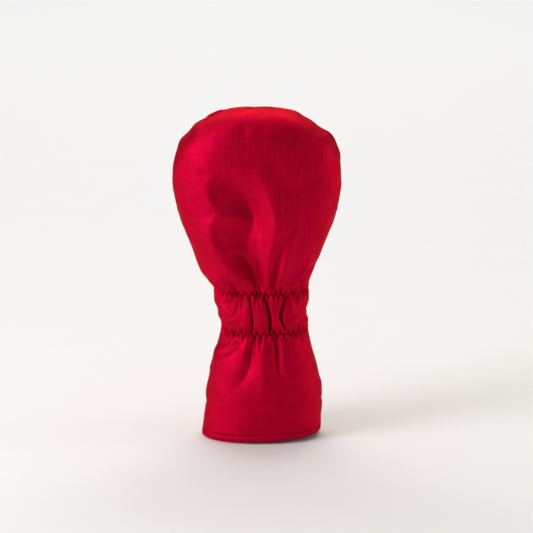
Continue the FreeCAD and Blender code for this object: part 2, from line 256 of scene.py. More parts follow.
def smoothed_path(path):
    """A path's points with more between them, on a curve through them."""
    path = np.array(path, float)
    ends = np.vstack([2 * path[0] - path[1], path, 2 * path[-1] - path[-2]])
    pieces = []
    for k in range(1, len(ends) - 2):
        share = np.linspace(0, 1, 7)[:-1, None]
        before, here, after, beyond = ends[k - 1:k + 3]
        pieces.append(0.5 * (2 * here + (after - before) * share
                             + (2 * before - 5 * here + 4 * after - beyond) * share ** 2
                             + (3 * here - before - 3 * after + beyond) * share ** 3))
    return np.vstack(pieces + [path[-1:]])


def fold(*path, crisp=2, lopsided=1):
    """A fold along a path of (place across, level, half width, height).

    crisp 2 is a soft round fold and 1 a sharp crease. lopsided widens the right of the path's own way.
    """
    return smoothed_path(path), crisp, lopsided


def fold_height(across, level, path, crisp, lopsided):
    """How far one fold raises the cloth."""
    reach = FOLD_REACH * path[:, 2].max() * lopsided
    near = ((across > path[:, 0].min() - reach) & (across < path[:, 0].max() + reach)
            & (level > path[:, 1].min() - reach) & (level < path[:, 1].max() + reach))
    height = np.zeros(across.shape)
    place = np.stack([across[near], level[near]], axis=1)
    start, run = path[:-1, :2], np.diff(path[:, :2], axis=0)
    rel = place[:, None, :] - start[None]
    share = np.clip((rel * run).sum(2) / (run ** 2).sum(1), 0, 1)
    off = rel - share[..., None] * run
    distance = np.hypot(off[..., 0], off[..., 1])
    best = distance.argmin(1)
    pick = np.arange(len(place))
    share, distance = share[pick, best], distance[pick, best]
    side = np.sign(run[best, 1] * off[pick, best, 0] - run[best, 0] * off[pick, best, 1])
    wide = path[best, 2] + (path[best + 1, 2] - path[best, 2]) * share
    high = path[best, 3] + (path[best + 1, 3] - path[best, 3]) * share
    wide = np.maximum(wide, NARROWEST_FOLD) * np.where(side > 0, lopsided, 1)
    height[near] = high * bell(distance, wide, crisp)
    return height


# Folds on the back of the hand.
FRONT_FOLDS = (
    # the long trough that snakes down the hand, gentle on its left and steeper on its right
    fold((-25, 154, 5, -0.4), (-18, 151, 5.5, -2.2), (-11, 144.5, 5.4, -4), (-5.6, 136, 5.2, -5.2),
         (-4.6, 127, 5.2, -5), (-7, 119, 5.2, -5.2), (-6.2, 109, 5, -5.4), (-3.2, 99.5, 3.4, -5),
         (-0.8, 90, 1.8, -2.8), crisp=1.9, lopsided=1.9),
    # the bulge on its right, which the small folds at the elastic run out of
    fold((-5, 160, 6, 0), (1, 155, 6, 1.1), (7, 145.5, 6.2, 2), (9.5, 131, 6.2, 2),
         (8.4, 118, 5.6, 1.7), (5.6, 106, 4.4, 1.7), (4, 97, 3, 1.4), (3.2, 90, 1.8, 0.8), crisp=2.2),
    # the cloth dips a little across the hood's fold
    fold((3, 166, 13, 0), (5, 156, 14, -0.7), (6, 147, 14, -0.9), (7, 138, 14, -0.5), (8, 130, 13, 0)),
    # crisper edges along both sides of the trough
    fold((-26, 154, 3.2, 0.2), (-30.5, 147, 3, 1), (-27, 139, 2.6, 1), (-23, 134, 2.4, 0.3)),
    fold((-26, 130, 2.4, 0.5), (-27.5, 124, 2.6, 1), (-25.5, 115, 2.6, 1.1), (-22, 108, 2.4, 0.5)),
    fold((-3, 157, 3.2, 0.1), (3.4, 149.5, 3.2, 0.8), (7, 140, 3.2, 1.1), (8.4, 128, 3, 1),
         (6.4, 116, 2.8, 0.7), (4.4, 106, 2.2, 0.2)),
    # the low fold that crosses the trough's left side, and the dark corner under it
    fold((-31, 126, 3, 0.2), (-22, 130.5, 3.2, 1.2), (-13, 131.5, 3, 1.5), (-8, 129, 2.4, 0.5)),
    fold((-19, 111, 2.6, 0.6), (-14, 112.5, 2.4, 1), (-10, 111, 2, 0.4)),
    fold((-13, 108, 2.2, -0.6), (-9.5, 106, 2.4, -1.8), (-5.2, 99, 2, -2.2), (-2.4, 91, 1.4, -1.6),
         crisp=1.6),
    # the roll down the left side
    fold((-36, 140, 7, 0), (-31, 128, 6, 0.8), (-28, 116, 5.4, 1.1), (-22, 105, 4.4, 1),
         (-14, 95, 3, 0.5)),
    # the leaf-shaped fold on the right, steep on its left
    fold((18.5, 125, 2.4, 0), (16.4, 117, 3, 1.3), (12.8, 104, 3, 2), (10.4, 95, 2.2, 1.6),
         (9.2, 89, 1.4, 0.8)),
    fold((13.6, 121, 2, -0.2), (11.6, 112, 2.2, -1.5), (8.4, 101, 2, -2.4), (6.6, 91, 1.3, -2),
         crisp=1.6),
    # the pocket at the right and the ridge at the lower left
    fold((17, 91, 1.4, 1), (21.5, 96, 1.7, 2.1), (27.5, 104, 1.9, 0.5)),
    fold((20.5, 90, 1.5, -1.6), (25, 95, 1.9, -2.8), (29.5, 101, 2.2, -0.8), crisp=1.7),
    fold((-31, 98, 2, 0.3), (-23, 93.5, 2, 2), (-14, 87.8, 1.6, 1.2)),
    fold((-28, 92.5, 1.8, -0.8), (-21, 89.5, 1.7, -2.2), (-15, 86.8, 1, -1.2), crisp=1.7),
    # creases between the two elastics
    fold((-6.4, 84, 0.35, -1.6), (-5.4, 76, 0.4, -2.6), (-5, 68, 0.45, -3), (-4.8, 64, 0.4, -2),
         crisp=1.2),
    fold((1.8, 85, 0.7, -2.6), (3.6, 79, 0.85, -3.4), (5, 72, 0.65, -3.8), (5.2, 64, 0.5, -2.6),
         crisp=1.2),
    fold((14.2, 84.5, 0.6, -2.8), (12.4, 78, 0.75, -3.4), (11.4, 72, 0.65, -3.4), (13.4, 65.5, 0.5, -2.4),
         crisp=1.2),
    fold((-12, 84, 0.6, -1.2), (-13.6, 77, 0.8, -1), (-15.5, 72, 0.7, -0.4), crisp=1.4),
    fold((-9, 74, 2.6, 0.5), (-8.5, 68, 2.6, 0.7)),
    fold((0.2, 80, 2.4, 0.5), (0.6, 70, 2.6, 0.8)),
    fold((8.6, 80, 2, 0.4), (8.8, 70, 2, 0.7)),
    fold((17, 77, 3, 0.5), (18, 70, 2.6, 0.6)),
    fold((-24, 83, 0.7, -0.6), (-20.5, 78.5, 0.8, -1.2), (-17.5, 75, 0.7, -0.6), crisp=1.4),
    fold((-20, 84, 0.7, -0.8), (-17.5, 80, 0.7, -1), (-14.5, 78, 0.6, -0.4), crisp=1.4),
    fold((-23, 71, 0.8, 0.6), (-19.5, 68.8, 0.9, 1), (-15, 70.5, 0.8, 0.8), (-11.5, 67, 0.8, 0.3),
         crisp=1.6),
    fold((-22, 67.5, 0.9, -0.8), (-18, 66, 1, -1.3), (-14, 66, 0.8, -0.8), crisp=1.5),
    fold((15, 68, 0.8, 0.3), (18.5, 71.5, 0.9, 0.9), (23, 74, 0.8, 0.4), crisp=1.6),
    fold((20.5, 84, 0.8, -0.9), (19.5, 79, 0.9, -0.8), (22, 76, 0.8, -0.2), crisp=1.4),
    fold((24.5, 70, 0.8, -0.9), (21, 66.5, 0.8, -1), crisp=1.4),
    # the gauntlet's two hooked creases and the ridge between them
    fold((-3.8, 60, 1.3, -1.8), (-5, 54, 1.9, -2.4), (-6.2, 46, 2.4, -2), (-9.6, 38, 3.2, -1.5),
         (-14, 33, 4, -1), (-19, 31, 4, 0), crisp=1.7),
    fold((8.6, 60, 1.3, -2.2), (9.2, 53, 1.8, -3), (9.8, 45, 2, -2.4), (11.4, 38, 2.8, -1.6),
         (16, 33, 3.6, -1.1), (23, 32, 3.6, 0), crisp=1.6),
    fold((1, 57, 2.6, 0.6), (1.6, 46, 3.4, 1.2), (1.4, 34, 3.6, 1), (0.5, 24, 3.6, 0)),
    fold((-27, 47, 2, 0), (-20, 51, 2, -1), (-13, 57, 1.4, -0.9)),
    fold((-26, 53, 1.6, 0), (-20, 56, 1.6, -0.7), (-15, 59.5, 1, -0.7)),
    fold((22, 58, 1.6, -0.9), (25, 52, 2, -1), (27, 45, 2.4, 0)),
    fold((8, 21, 4, 0), (17, 22.5, 4.2, -0.9), (27, 25, 4, -0.7), (32, 27, 3.4, 0)),
    fold((-30, 27, 3.6, 0), (-25, 24.5, 3.6, -0.6), (-18, 24, 3.6, 0)),
)
# Folds of the palm side below the hood, and of the hood's own palm side, as seen from the front.
PALM_FOLDS = (
    fold((6, 112, 5, 0), (3, 105, 5, 1.3), (2, 96, 3.6, 1.6), (1.5, 89, 2.2, 0.9)),
    fold((-1, 108, 3, -0.4), (-3, 99, 2.8, -2.2), (-3.4, 90, 1.6, -2), crisp=1.6),
    fold((14, 106, 3, -0.4), (11, 98, 2.4, -1.8), (9, 90, 1.5, -1.8), crisp=1.6),
    fold((-16, 108, 4, -0.5), (-14, 99, 3, -1.8), (-11, 90, 1.6, -1.6), crisp=1.7),
    fold((24, 101, 3, 0), (19, 95, 2.4, -1.3), (16, 89, 1.4, -1.3)),
    fold((-26, 101, 3, 0), (-22, 95, 2.4, -1.2), (-18, 89, 1.4, -1.2)),
    fold((5.5, 84, 1.2, -2), (4.4, 76, 1.6, -3.2), (5.2, 67, 1.3, -2.6), crisp=1.4),
    fold((-6.5, 84, 1.2, -2.2), (-5, 75, 1.6, -3), (-6.2, 66, 1.2, -2.4), crisp=1.4),
    fold((-15, 83, 1.2, -1.4), (-16, 75, 1.6, -1.8), (-14, 67, 1.2, -1.4), crisp=1.6),
    fold((14.5, 83, 1.2, -1.2), (15, 76, 1.6, -1.7), (13.4, 67, 1.2, -1.4), crisp=1.6),
    fold((6.8, 59, 1.3, -2), (7.4, 52, 1.9, -2.6), (9, 43, 2.4, -1.8), (14, 36, 3.6, 0), crisp=1.6),
    fold((-7, 59, 1.3, -1.8), (-8, 51, 2, -2.2), (-8.4, 42, 2.8, -1.6), (-6, 34, 3.4, 0), crisp=1.7),
    fold((0, 57, 2.6, 0.4), (-0.5, 44, 3.4, 1.1), (1, 30, 3.6, 0)),
    fold((-28, 50, 2.2, 0), (-21, 53, 2, -0.9), (-15, 58, 1.4, -0.8)),
    fold((20, 58, 1.5, -0.9), (24, 51, 2.2, -1), (27, 42, 2.6, 0)),
    fold((-22, 20, 4, 0), (-12, 22, 4.2, -0.7), (0, 19, 4, 0)),
)
HOOD_PALM_FOLDS = (
    fold((-30, 160, 7, 0), (-18, 153, 7, -1.2), (-6, 149, 6, -1.4), (6, 150, 6, 0)),
    fold((34, 150, 6, 0), (22, 143, 6, -1.2), (12, 134, 4, -1.4), (10, 128, 2.6, -1)),
    fold((-14, 142, 4, 0), (-16, 135, 3.4, -1.3), (-15, 128, 2.4, -1.2)),
    fold((-4, 172, 8, 0), (6, 164, 8, -0.9), (16, 160, 6, 0)),
    fold((0, 141, 5, 0), (1, 134, 4, 0.9), (0, 128, 3, 0.8)),
)
# Bulges and pinches that both halves share at the side seams.
SIDE_FOLDS = (
    fold((-27.5, 82, 2.2, 0.8), (-26.5, 79, 2.2, 0.8)),
    fold((-25.5, 74.5, 1.6, -0.6), (-24.5, 74, 1.6, -0.4)),
    fold((-25.5, 69.5, 1.8, 0.8), (-24.5, 69, 1.8, 0.5)),
    fold((27, 82, 2.2, 0.6), (26, 79.5, 2.2, 0.6)),
    fold((26.5, 74, 1.5, -0.7), (25.5, 73, 1.5, -0.5)),
    fold((27, 67.5, 1.3, 1), (25.5, 67, 1.3, 0.8)),
    fold((-31.5, 42, 2.4, 0.5), (-30.5, 39, 2.4, 0.5)),
    fold((-33, 20, 1.8, -0.5), (-32, 19, 1.8, -0.4)),
    fold((34.5, 30, 2.2, 0.5), (33.5, 28, 2.2, 0.4)),
    fold((34.5, 20, 1.8, -0.6), (33, 19.5, 1.8, -0.4)),
)
# Corners and slack stretches of the rim.
RIM_FOLDS = (
    fold((19, 189, 3, 0.7), (21, 188, 3, 0.7)),
    fold((26, 185, 5, -0.7), (32, 180, 5, -0.7)),
    fold((37.5, 174, 3.5, 0.6), (39, 171, 3.5, 0.5)),
    fold((-30, 182, 4, -0.4), (-27, 184.5, 4, -0.4)),
    fold((-36, 178.5, 3, 0.2), (-34.6, 180, 3, 0.2)),
    fold((-40, 175, 3, -0.2), (-41, 174, 3, -0.2)),
    fold((-45, 170.5, 3.5, 0.6), (-45.6, 168.5, 3.5, 0.6)),
)


def grid_noise(rng, shape, smooth):
    """Smooth seeded noise in about -1 to 1 over a lattice of the given shape."""
    raw = rng.standard_normal(shape)
    for _ in range(smooth):
        beside = np.roll(raw, 1, 0) + np.roll(raw, -1, 0) + np.roll(raw, 1, 1) + np.roll(raw, -1, 1)
        raw = (beside + raw) / 5
    return raw / np.abs(raw).max()


def lattice_sample(lattice, u, v):
    """Smooth samples of a lattice that repeats, at places given in cells."""
    rows, cols = lattice.shape
    r0, c0 = np.floor(u).astype(int), np.floor(v).astype(int)
    fr, fc = u - r0, v - c0
    fr, fc = eased(fr), eased(fc)
    r1, c1 = (r0 + 1) % rows, (c0 + 1) % cols
    r0, c0 = r0 % rows, c0 % cols
    return ((lattice[r0, c0] * (1 - fr) + lattice[r1, c0] * fr) * (1 - fc)
            + (lattice[r0, c1] * (1 - fr) + lattice[r1, c1] * fr) * fc)


draws = np.random.default_rng(SEED)
CRUMPLE = grid_noise(draws, (64, 64), 1)


def crumple(around, level, cell, height):
    """Slight unevenness of the cloth, with bumps about one cell apart."""
    return height * lattice_sample(CRUMPLE, level / cell + 7.3, around / cell + 31.7)


# ---------------- gathers at the elastics
ROW_PITCH = 3.3
ROW_ZIGZAG = 0.7
ROW_CUT = 0.1
ROW_HIGH = 0.5
PUFF = 0.9
PUFF_REACH = 1.7
PLEAT_DEEP = 1.9
PLEAT_WIDE = 0.5
PLEAT_SPREAD = 0.06
PLEAT_SHORT = 2.0


def section_length(level):
    """Length round the whole outside at a level."""
    halves = [quarter_section(half_width(level), depth(level), squareness(level), np.ones(1))[2][0]
              for depth in (front_depth, back_depth)]
    return 2 * sum(halves)


class Gathers:
    """The puckers along one row of elastic, all the way round: pleats above and below, out of step."""

    def __init__(self, level, reach_up, reach_down, rng):
        self.level = level
        self.length = section_length(level)
        self.count = int(self.length / ROW_PITCH)
        step = rng.uniform(0.55, 1.45, self.count)
        self.turns = np.cumsum(step) / step.sum()
        self.up = PLEAT_SHORT + rng.uniform(0, 1, self.count) ** 2 * reach_up
        self.down = PLEAT_SHORT + rng.uniform(0, 1, self.count) ** 2 * reach_down
        self.slant = rng.uniform(-0.45, 0.45, self.count)
        self.deep = rng.uniform(0.35, 1.0, self.count)

    def height(self, turn, level):
        """Height along the normal at turns of 0 to 1 round the row."""
        order = np.concatenate([[self.turns[-1] - 1], self.turns, [1 + self.turns[0]]])
        phase = np.interp(turn % 1, order, np.arange(len(order)))
        wave = np.cos(2 * math.pi * phase)
        above = level - self.level - ROW_ZIGZAG * wave
        off = np.abs(above)
        puff = 0.55 - 0.45 * np.sign(above) * wave
        total = PUFF * puff * off / PUFF_REACH * np.exp(1 - off / PUFF_REACH)
        total -= ROW_CUT * bell(above, ROW_HIGH)
        halfway = np.roll(self.turns, -1) - self.turns
        halfway = np.where(halfway < 0, halfway + 1, halfway) / 2
        for k in range(self.count):
            for sign, reach, shift in ((1, self.up[k], 0.0), (-1, self.down[k], halfway[k])):
                far = np.maximum(sign * above, 0)
                fade = np.clip(1 - far / reach, 0, 1) * bell(np.minimum(sign * above, 0), ROW_HIGH)
                away = ((turn - self.turns[k] - shift + 0.5) % 1 - 0.5) * self.length - self.slant[k] * far
                total -= PLEAT_DEEP * self.deep[k] * fade * bell(away, PLEAT_WIDE + PLEAT_SPREAD * far, 1.4)
        return total


UPPER_GATHERS = Gathers(UPPER_ROW, 11, 9, draws)
LOWER_GATHERS = Gathers(LOWER_ROW, 7, 12, draws)
GATHERS_REACH = 16


def gather_height(turn, level):
    """Both rows' puckers; turn is 0 at the middle of the front and grows towards +X."""
    total = np.zeros(level.shape)
    for gathers in (UPPER_GATHERS, LOWER_GATHERS):
        near = np.abs(level - gathers.level) < GATHERS_REACH
        total[near] += gathers.height(turn[near], level[near])
    return total


# ---------------- meshes
HEM_LIFT = 2.6
HEM_LIFT_TOP = 45.0
SHARP_EDGE = 70
hood_pieces = []


def hem_lifted(points):
    """The gauntlet's mouth stands a little off the level: its right side is lifted, most at the hem."""
    points = np.array(points, float)
    fade = np.clip(1 - points[..., 2] / HEM_LIFT_TOP, 0, 1)
    share = np.clip((points[..., 0] + HEM_WIDE) / (2 * HEM_WIDE), 0, 1)
    points[..., 2] += HEM_LIFT * share ** 1.3 * fade ** 1.5
    return points


def add_mesh(name, points, faces, flat=None):
    """A mesh object from points in mm, with the cloth's own flat lengths as its UV map, in metres."""
    mesh = bpy.data.meshes.new(name)
    mesh.from_pydata((np.asarray(points) * MM).tolist(), [], [list(face) for face in faces])
    if flat is not None:
        layer = mesh.uv_layers.new(name="cloth")
        loops = np.zeros(len(mesh.loops), int)
        mesh.loops.foreach_get("vertex_index", loops)
        layer.data.foreach_set("uv", (np.asarray(flat)[loops] * MM).ravel())
    mesh.shade_smooth()
    made = bpy.data.objects.new(name, mesh)
    bpy.context.scene.collection.objects.link(made)
    return made


def piece(name, points, faces, flat, material, body, slot, replaced=()):
    """A piece of the mitten that rides on a body and stands for some CAD nodes."""
    made = add_mesh(name, hem_lifted(points), faces, flat)
    made.data.materials.append(material)
    made.data.set_sharp_from_angle(angle=math.radians(SHARP_EDGE))
    if body:
        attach(made, body)
    if body == "hood":
        hood_pieces.append(made)
    if replaced:
        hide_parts(*replaced)
    return made


def grid_faces(rows, cols, flip):
    corner = np.arange((rows - 1) * cols).reshape(rows - 1, cols)[:, :-1].ravel()
    quads = np.stack([corner, corner + 1, corner + cols + 1, corner + cols], axis=1)
    return quads[:, ::-1] if flip else quads


def slab(name, outer, inner, flat, facing, *rest):
    """A piece of cloth between two grids of points, outer and inner."""
    rows, cols = outer.shape[:2]
    count = rows * cols
    grid = np.arange(count).reshape(rows, cols)
    edge = np.concatenate([grid[0, :-1], grid[:-1, -1], grid[-1, :0:-1], grid[:0:-1, 0]])
    after = np.roll(edge, -1)
    rim = np.stack([after, edge, edge + count, after + count], axis=1)
    flip = facing > 0
    faces = np.vstack([grid_faces(rows, cols, flip), grid_faces(rows, cols, not flip) + count,
                       rim[:, ::-1] if flip else rim])
    points = np.vstack([outer.reshape(-1, 3), inner.reshape(-1, 3)])
    made = piece(name, points, faces, np.tile(flat.reshape(-1, 2), (2, 1)), *rest)
    on_rim = np.zeros(2 * count, bool)
    on_rim[np.concatenate([edge, edge + count])] = True
    ends = np.zeros(2 * len(made.data.edges), int)
    made.data.edges.foreach_get("vertices", ends)
    ends = ends.reshape(-1, 2)
    layers = made.data.attributes
    sharp = layers.get("sharp_edge") or layers.new("sharp_edge", "BOOLEAN", "EDGE")
    values = np.zeros(len(ends), bool)
    sharp.data.foreach_get("value", values)
    values |= on_rim[ends].all(1) & ((ends[:, 0] < count) == (ends[:, 1] < count))
    sharp.data.foreach_set("value", values)
    return made


def rounded(outline):
    """A closed outline with more points between those given, on a curve through them."""
    outline = [tuple(point) for point in outline]
    ring = smoothed_path(outline[-1:] + outline + outline[:1])
    per = (len(ring) - 1) // (len(outline) + 1)
    return ring[per:-1]


def swept(line, out, up, section, scale=None):
    """Points, faces and flat lengths of a solid with one section, places out and up, all along a line."""
    section = rounded(section)
    scale = np.ones(len(line)) if scale is None else scale
    shape = section[None] * scale[:, None, None]
    points = line[:, None] + out[:, None] * shape[..., :1] + up[:, None] * shape[..., 1:]
    rows, cols = points.shape[:2]
    corner = np.arange((rows - 1) * cols).reshape(rows - 1, cols)
    beside = np.roll(corner, -1, axis=1)
    sides = np.stack([corner, beside, beside + cols, corner + cols], axis=2).reshape(-1, 4)
    ends = [list(range(cols))[::-1], list(range((rows - 1) * cols, rows * cols))]
    flat = np.stack(np.broadcast_arrays(lengths(line)[:, None], lengths(section)[None]), axis=2)
    return points.reshape(-1, 3), [list(face) for face in sides] + ends, flat.reshape(-1, 2)


def closed_piece(*args):
    """A piece with all its faces turned outwards."""
    made = piece(*args)
    solid = bmesh.new()
    solid.from_mesh(made.data)
    bmesh.ops.recalc_face_normals(solid, faces=solid.faces)
    solid.to_mesh(made.data)
    solid.free()


def strands(name, paths, radius, *rest):
    """Short lengths of thread, each a path of points with the outward directions there."""
    points, faces, flats = [], [], []
    turn = np.linspace(0, 2 * math.pi, 7)[:-1]
    section = radius * np.stack([np.cos(turn), np.sin(turn)], axis=1)
    for path, out in paths:
        up = unit(np.cross(np.gradient(path, axis=0), out))
        steps = np.arange(len(path))
        taper = np.minimum(1, np.minimum(steps, steps[::-1]) * 0.45 + 0.35)
        more, sides, flat = swept(path, out, up, section, taper)
        faces += [[corner + sum(map(len, points)) for corner in face] for face in sides]
        points.append(more)
        flats.append(flat)
    closed_piece(name, np.vstack(points), faces, np.vstack(flats), *rest)


# ---------------- materials
class Look:
    """A Principled material and a short way to add the nodes that drive it."""

    def __init__(self, name, roughness, **inputs):
        self.material = bpy.data.materials.new(name)
        self.material.use_nodes = True
        self.tree = self.material.node_tree
        self.shader = self.tree.nodes["Principled BSDF"]
        self.shader.inputs["Roughness"].default_value = roughness
        for title, value in inputs.items():
            self.shader.inputs[title.replace("_", " ")].default_value = value

    def node(self, kind, settings=None, **inputs):
        """A node, its inputs set by name or by _number; a value may be another node's output."""
        made = self.tree.nodes.new("ShaderNode" + kind)
        for key, value in (settings or {}).items():
            setattr(made, key, value)
        for title, value in inputs.items():
            number = title[1:].isdigit()
            self.feed(made.inputs[int(title[1:]) if number else title.replace("_", " ")], value)
        return made

    def feed(self, socket, value):
        if isinstance(value, bpy.types.NodeSocket):
            self.tree.links.new(value, socket)
        else:
            socket.default_value = value

    def math(self, operation, first, second=0.0, third=0.0):
        return self.node("Math", {"operation": operation}, _0=first, _1=second, _2=third).outputs[0]

    def mix(self, share, low, high):
        """A colour between two, each three parts of light or another node's output."""
        low, high = ((*value, 1) if isinstance(value, tuple) else value for value in (low, high))
        return self.node("Mix", {"data_type": "RGBA"}, _0=share, _6=low, _7=high).outputs[2]

    def spread(self, value, low, high, new_low=0.0, new_high=1.0):
        made = self.node("MapRange", {"interpolation_type": "SMOOTHSTEP"}, Value=value,
                         From_Min=low, From_Max=high, To_Min=new_low, To_Max=new_high)
        return made.outputs[0]

    def cloth_way(self):
        """The cloth's own two directions, in metres."""
        flat = self.node("UVMap", {"uv_map": "cloth"}).outputs[0]
        return self.node("SeparateXYZ", Vector=flat).outputs[:2]

    def noise(self, scale, detail=2.0, roughness=0.5):
        place = self.node("TexCoord").outputs["Object"]
        return self.node("TexNoise", Vector=place, Scale=scale, Detail=detail,
                         Roughness=roughness).outputs[0]

    def lines(self, way, pitch, share):
        """1 on thin lines a pitch apart across one direction, share of a pitch wide, and 0 between."""
        phase = self.math("FRACT", self.math("DIVIDE", way, pitch))
        away = self.math("ABSOLUTE", self.math("SUBTRACT", phase, 0.5))
        return self.spread(away, share / 2, share, 1.0, 0.0)

    def wave(self, way, pitch):
        """A smooth ripple from 0 to 1."""
        turn = self.math("MULTIPLY", way, 2 * math.pi / pitch)
        return self.math("MULTIPLY_ADD", self.math("SINE", turn), 0.5, 0.5)

    def weave(self, across, along):
        """A plain weave of fine threads."""
        return self.math("MULTIPLY", self.wave(across, THREAD_PITCH), self.wave(along, THREAD_PITCH))

    def bump(self, height, distance, strength=1.0):
        made = self.node("Bump", Height=height, Distance=distance, Strength=strength)
        self.tree.links.new(made.outputs[0], self.shader.inputs["Normal"])

    def colour(self, value):
        self.feed(self.shader.inputs["Base Color"], value)


# Pitches and depths of the cloths' texture are in metres, as the cloth's directions are.
RIPSTOP_PITCH = 0.0032
THREAD_PITCH = 0.00042
WEAVE_DEEP = 0.00005
GRID_SHOWS = 0.22


def ripstop_look():
    """Satin nylon with a fine plain weave, and above the wrist a grid of thicker reinforcing threads."""
    look = Look("ripstop_nylon", 0.4, Metallic=0.85, Specular_Tint=(1, 0.12, 0.22, 1),
                Specular_IOR_Level=0.35)
    across, along = look.cloth_way()
    grid = look.math("MAXIMUM", *(look.lines(way, RIPSTOP_PITCH, 0.07) for way in (across, along)))
    grid = look.math("MULTIPLY", grid, look.spread(along, 0.088, 0.1))
    weave = look.weave(across, along)
    mottle = look.spread(look.noise(160, 3), 0.3, 0.7)
    cloth = look.mix(mottle, (0.5, 0.0004, 0.024), (0.56, 0.0006, 0.03))
    look.colour(look.mix(look.math("MULTIPLY", grid, GRID_SHOWS), cloth, (0.75, 0.004, 0.08)))
    look.feed(look.shader.inputs["Roughness"], look.spread(look.noise(90, 2), 0.3, 0.7, 0.46, 0.55))
    look.bump(look.math("MULTIPLY_ADD", grid, 0.5, weave), WEAVE_DEEP)
    return look.material


def fibre_look(name, roughness, noise, dark, light, depth, coarse=None, **sheen):
    """Loose fibres or twisted thread: noise of a scale, detail and roughness, and coarse tufts under it."""
    look = Look(name, roughness, **sheen)
    fibre = look.noise(*noise)
    look.colour(look.mix(fibre, dark, light))
    look.bump(look.math("ADD", fibre, look.noise(coarse)) if coarse else fibre, depth)
    return look.material


def taffeta_look():
    look = Look("taffeta", 0.5, Sheen_Weight=0.2)
    weave = look.weave(*look.cloth_way())
    look.colour(look.mix(weave, (0.36, 0.0015, 0.018), (0.48, 0.003, 0.026)))
    look.bump(weave, WEAVE_DEEP)
    return look.material


def ribbed_look(name, dark, light, pitch, depth, roughness=0.7):
    """Knitted or braided tape, ribbed across its length."""
    look = Look(name, roughness, Sheen_Weight=0.08)
    across, along = look.cloth_way()
    rib = look.wave(across, pitch)
    knit = look.wave(along, pitch * 0.8)
    look.colour(look.mix(look.math("MULTIPLY", rib, knit), dark, light))
    look.bump(look.math("MULTIPLY_ADD", knit, 0.4, rib), depth)
    return look.material


shell_cloth = ripstop_look()
fleece = fibre_look("fleece", 0.95, (1500, 3, 0.7), (0.30, 0.002, 0.016), (0.62, 0.010, 0.05), 0.0006, 420,
                    Sheen_Weight=0.6, Sheen_Roughness=0.5, Sheen_Tint=(1, 0.3, 0.35, 1))
taffeta = taffeta_look()
batting = fibre_look("batting", 0.95, (900, 4, 0.7), (0.72, 0.72, 0.70), (0.88, 0.88, 0.86), 0.0008,
                     Sheen_Weight=0.4)
binding_knit = ribbed_look("binding_knit", (0.42, 0.003, 0.02), (0.60, 0.008, 0.04), 0.0009, 0.00015)
elastic_braid = ribbed_look("elastic_braid", (0.55, 0.54, 0.5), (0.8, 0.79, 0.75), 0.0011, 0.0002)
label_tape = ribbed_look("label_tape", (0.78, 0.77, 0.74), (0.86, 0.85, 0.82), 0.0005, 0.00004, 0.45)
thread = fibre_look("sewing_thread", 0.5, (2600, 1), (0.15, 0.0005, 0.008), (0.26, 0.001, 0.015), 0.00008,
                    Sheen_Weight=0.2)

# ---------------- the two halves of the outside
COLUMNS = 241
CROWN_ROWS = 80
SHARES = np.linspace(-1, 1, COLUMNS)
ROW_FINE = 0.34
ROW_COARSER = 0.4
HEM_START = 0.5
STITCH_LEVEL = 4.0
STITCH_PITCH = 2.1
DIMPLE_WIDE = 0.62
DIMPLE_DEEP = 0.9
SEAM_DEEP = 0.8
SEAM_WIDE = 1.3
STEP = FOLD_WIDE - node_box("palm_opening_binding")[1][0]
STEP_START = 112.0
STEP_END = 126.0
LIP = 0.05
PANEL_FIRST = round(LIP * (COLUMNS - 1) / 2) + 1
OPENING_EDGE = FOLD - 1.5
BINDING_WIDE = node_box("hood_edge_binding")[1][2] - HOOD_EDGE
# Where the palm's unevenness is read, so that it isn't the front's.
PALM_SHIFT = 200
# How far forward of the fold's axis the cloth may stand: a slope from a rounded start, and a soft limit.
HINGE_SLOPE = 0.17
HINGE_ROUND = 3.5
HINGE_GAP = 0.03
HINGE_SOFT = 0.25
# Where the rim seam gapes: places across, half lengths along it.
GAPES = ((-26, 6), (41, 6))


def row_levels(low, high):
    """Levels between two heights, closer together near the elastics and the hem's stitching."""
    levels = [low]
    while levels[-1] < high:
        to_row = min(abs(levels[-1] - fine) for fine in (UPPER_ROW, LOWER_ROW, STITCH_LEVEL))
        levels.append(levels[-1] + ROW_FINE + ROW_COARSER * min(1, to_row / 12))
    levels = np.array(levels)
    return low + (levels - low) * (high - low) / (levels[-1] - low)


def turns_round(around, facing):
    """How far round the mitten each point of a half is, from 0 at the middle of the front to 1."""
    turn = around / (4 * np.abs(around[:, -1:]))
    return turn if facing < 0 else 0.5 - turn


def hem_height(around, level):
    """The row of stitching near the hem: a shallow groove with a dimple at each needle hole."""
    hole = np.abs((around / STITCH_PITCH) % 1 - 0.5) * STITCH_PITCH
    dimple = np.exp(-(hole ** 2 + (level - STITCH_LEVEL) ** 2) / DIMPLE_WIDE ** 2)
    groove, edge = bell(level - STITCH_LEVEL, 0.6), bell(level - HEM_START, 0.7)
    return -0.15 * groove - DIMPLE_DEEP * dimple - 0.25 * edge


